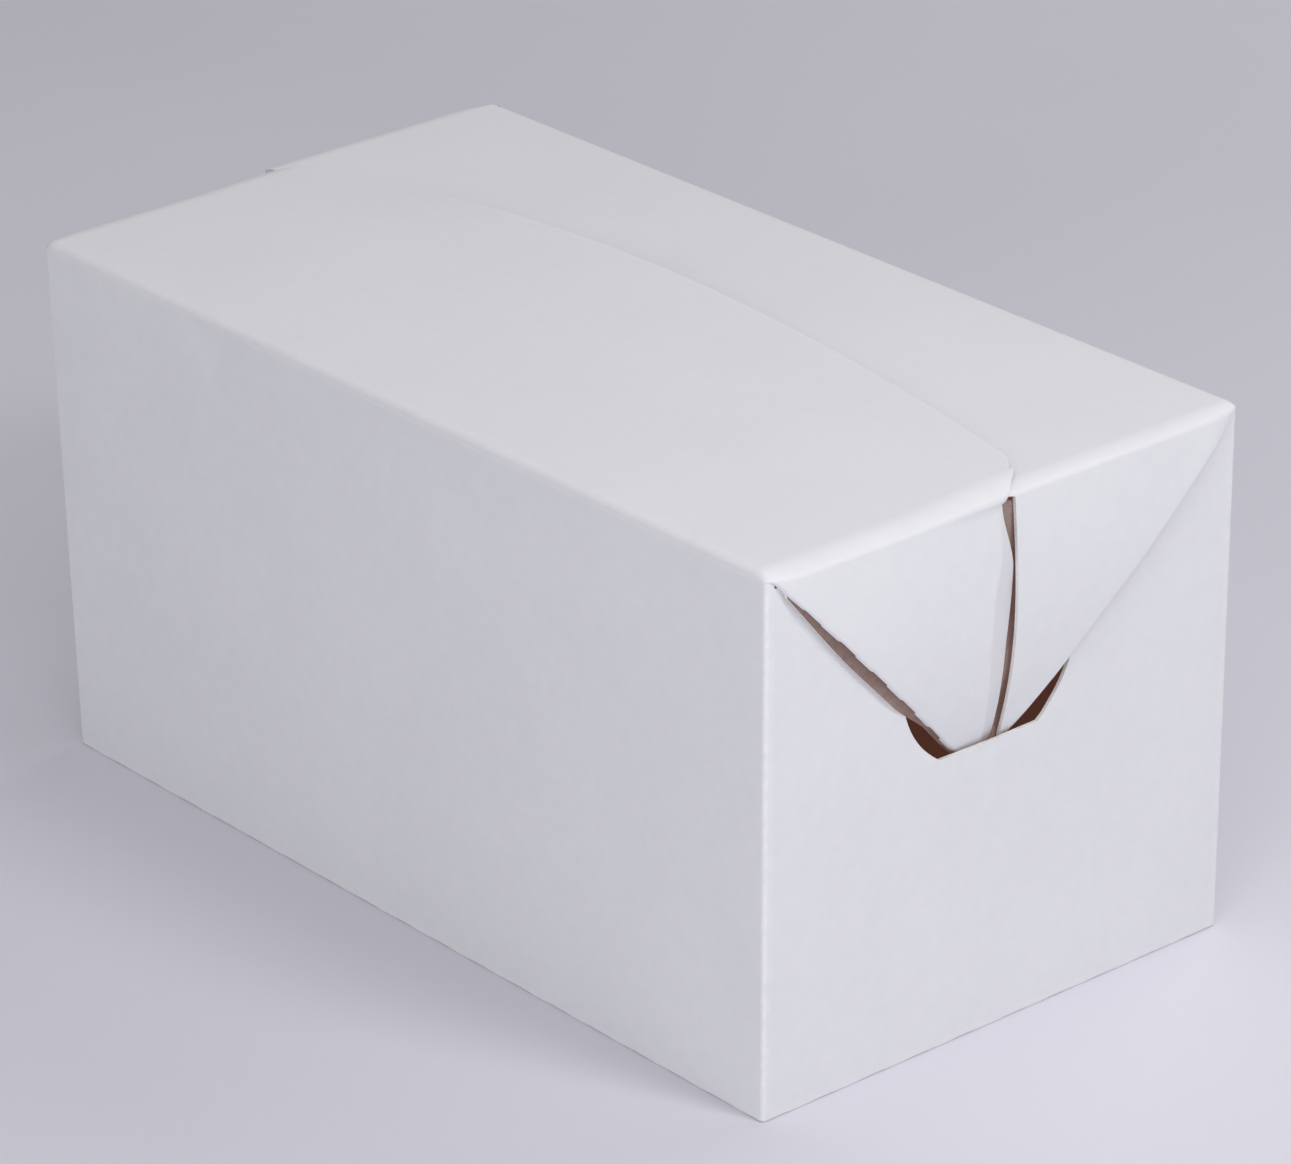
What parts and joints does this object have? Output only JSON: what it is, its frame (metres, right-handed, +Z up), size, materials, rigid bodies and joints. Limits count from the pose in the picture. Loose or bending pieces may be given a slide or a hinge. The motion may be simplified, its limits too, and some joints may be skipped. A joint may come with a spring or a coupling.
{
  "type": "folding gift carton",
  "caption": "Small paperboard gift carton with a locking base and a top closed by overlapping lid panels whose folded ears tuck into slots in the end walls.",
  "frame": {"origin": "middle of the underside, on the surface that the carton stands on", "axes": "+X along the carton's length, -Y towards the front wall, whose lid lies on top, +Z up"},
  "size_m": [0.1186, 0.063, 0.06],
  "materials": {
    "white_board": "satin clay-coated white face on folding boxboard, fine mottle, whitened creases",
    "kraft_board": "matte uncoated brown-grey inner face with visible fibre"
  },
  "bodies": {
    "root": {"front_wall": "white_board", "back_wall": "white_board", "left_end_wall": "white_board", "right_end_wall": "white_board", "glue_seam_flap": "kraft_board", "front_base_flap": "white_board", "back_base_flap": "kraft_board", "left_base_flap": "kraft_board", "right_base_flap": "kraft_board"},
    "front_lid": {"front_lid": "white_board"},
    "back_lid": {"back_lid": "white_board"},
    "front_right_ear": {"front_right_ear": "white_board"},
    "back_right_ear": {"back_right_ear": "white_board"},
    "right_gusset": {"right_gusset": "kraft_board"},
    "front_left_ear": {"front_left_ear": "white_board"},
    "back_left_ear": {"back_left_ear": "white_board"},
    "left_gusset": {"left_gusset": "kraft_board"}
  },
  "joints": [
    {"name": "front_lid_fold", "type": "hinge", "parent": "root", "child": "front_lid", "pos_m": [0, -0.0315, 0.0596], "axis": [1, 0, 0], "range_deg": [0, 90]},
    {"name": "back_lid_fold", "type": "hinge", "parent": "root", "child": "back_lid", "pos_m": [0, 0.0315, 0.059], "axis": [-1, 0, 0], "range_deg": [0, 90]},
    {"name": "front_right_ear_fold", "type": "hinge", "parent": "front_lid", "child": "front_right_ear", "pos_m": [0.0593, -0.0158, 0.0596], "axis": [0, -1, 0], "range_deg": [0, 90]},
    {"name": "back_right_ear_fold", "type": "hinge", "parent": "back_lid", "child": "back_right_ear", "pos_m": [0.0587, 0.0158, 0.059], "axis": [0, -1, 0], "range_deg": [0, 90]},
    {"name": "right_gusset_fold", "type": "hinge", "parent": "root", "child": "right_gusset", "pos_m": [0.0581, 0, 0.0584], "axis": [0, -1, 0], "range_deg": [0, 90]},
    {"name": "front_left_ear_fold", "type": "hinge", "parent": "front_lid", "child": "front_left_ear", "pos_m": [-0.0593, -0.0158, 0.0596], "axis": [0, 1, 0], "range_deg": [0, 90]},
    {"name": "back_left_ear_fold", "type": "hinge", "parent": "back_lid", "child": "back_left_ear", "pos_m": [-0.0587, 0.0158, 0.059], "axis": [0, 1, 0], "range_deg": [0, 90]},
    {"name": "left_gusset_fold", "type": "hinge", "parent": "root", "child": "left_gusset", "pos_m": [-0.0581, 0, 0.0584], "axis": [0, 1, 0], "range_deg": [0, 90]}
  ],
  "couplings": [
    {"joint": "back_lid_fold", "follows": "front_lid_fold", "ratio": 1},
    {"joint": "back_right_ear_fold", "follows": "front_right_ear_fold", "ratio": 1},
    {"joint": "right_gusset_fold", "follows": "front_right_ear_fold", "ratio": 1},
    {"joint": "back_left_ear_fold", "follows": "front_left_ear_fold", "ratio": 1},
    {"joint": "left_gusset_fold", "follows": "front_left_ear_fold", "ratio": 1}
  ]
}
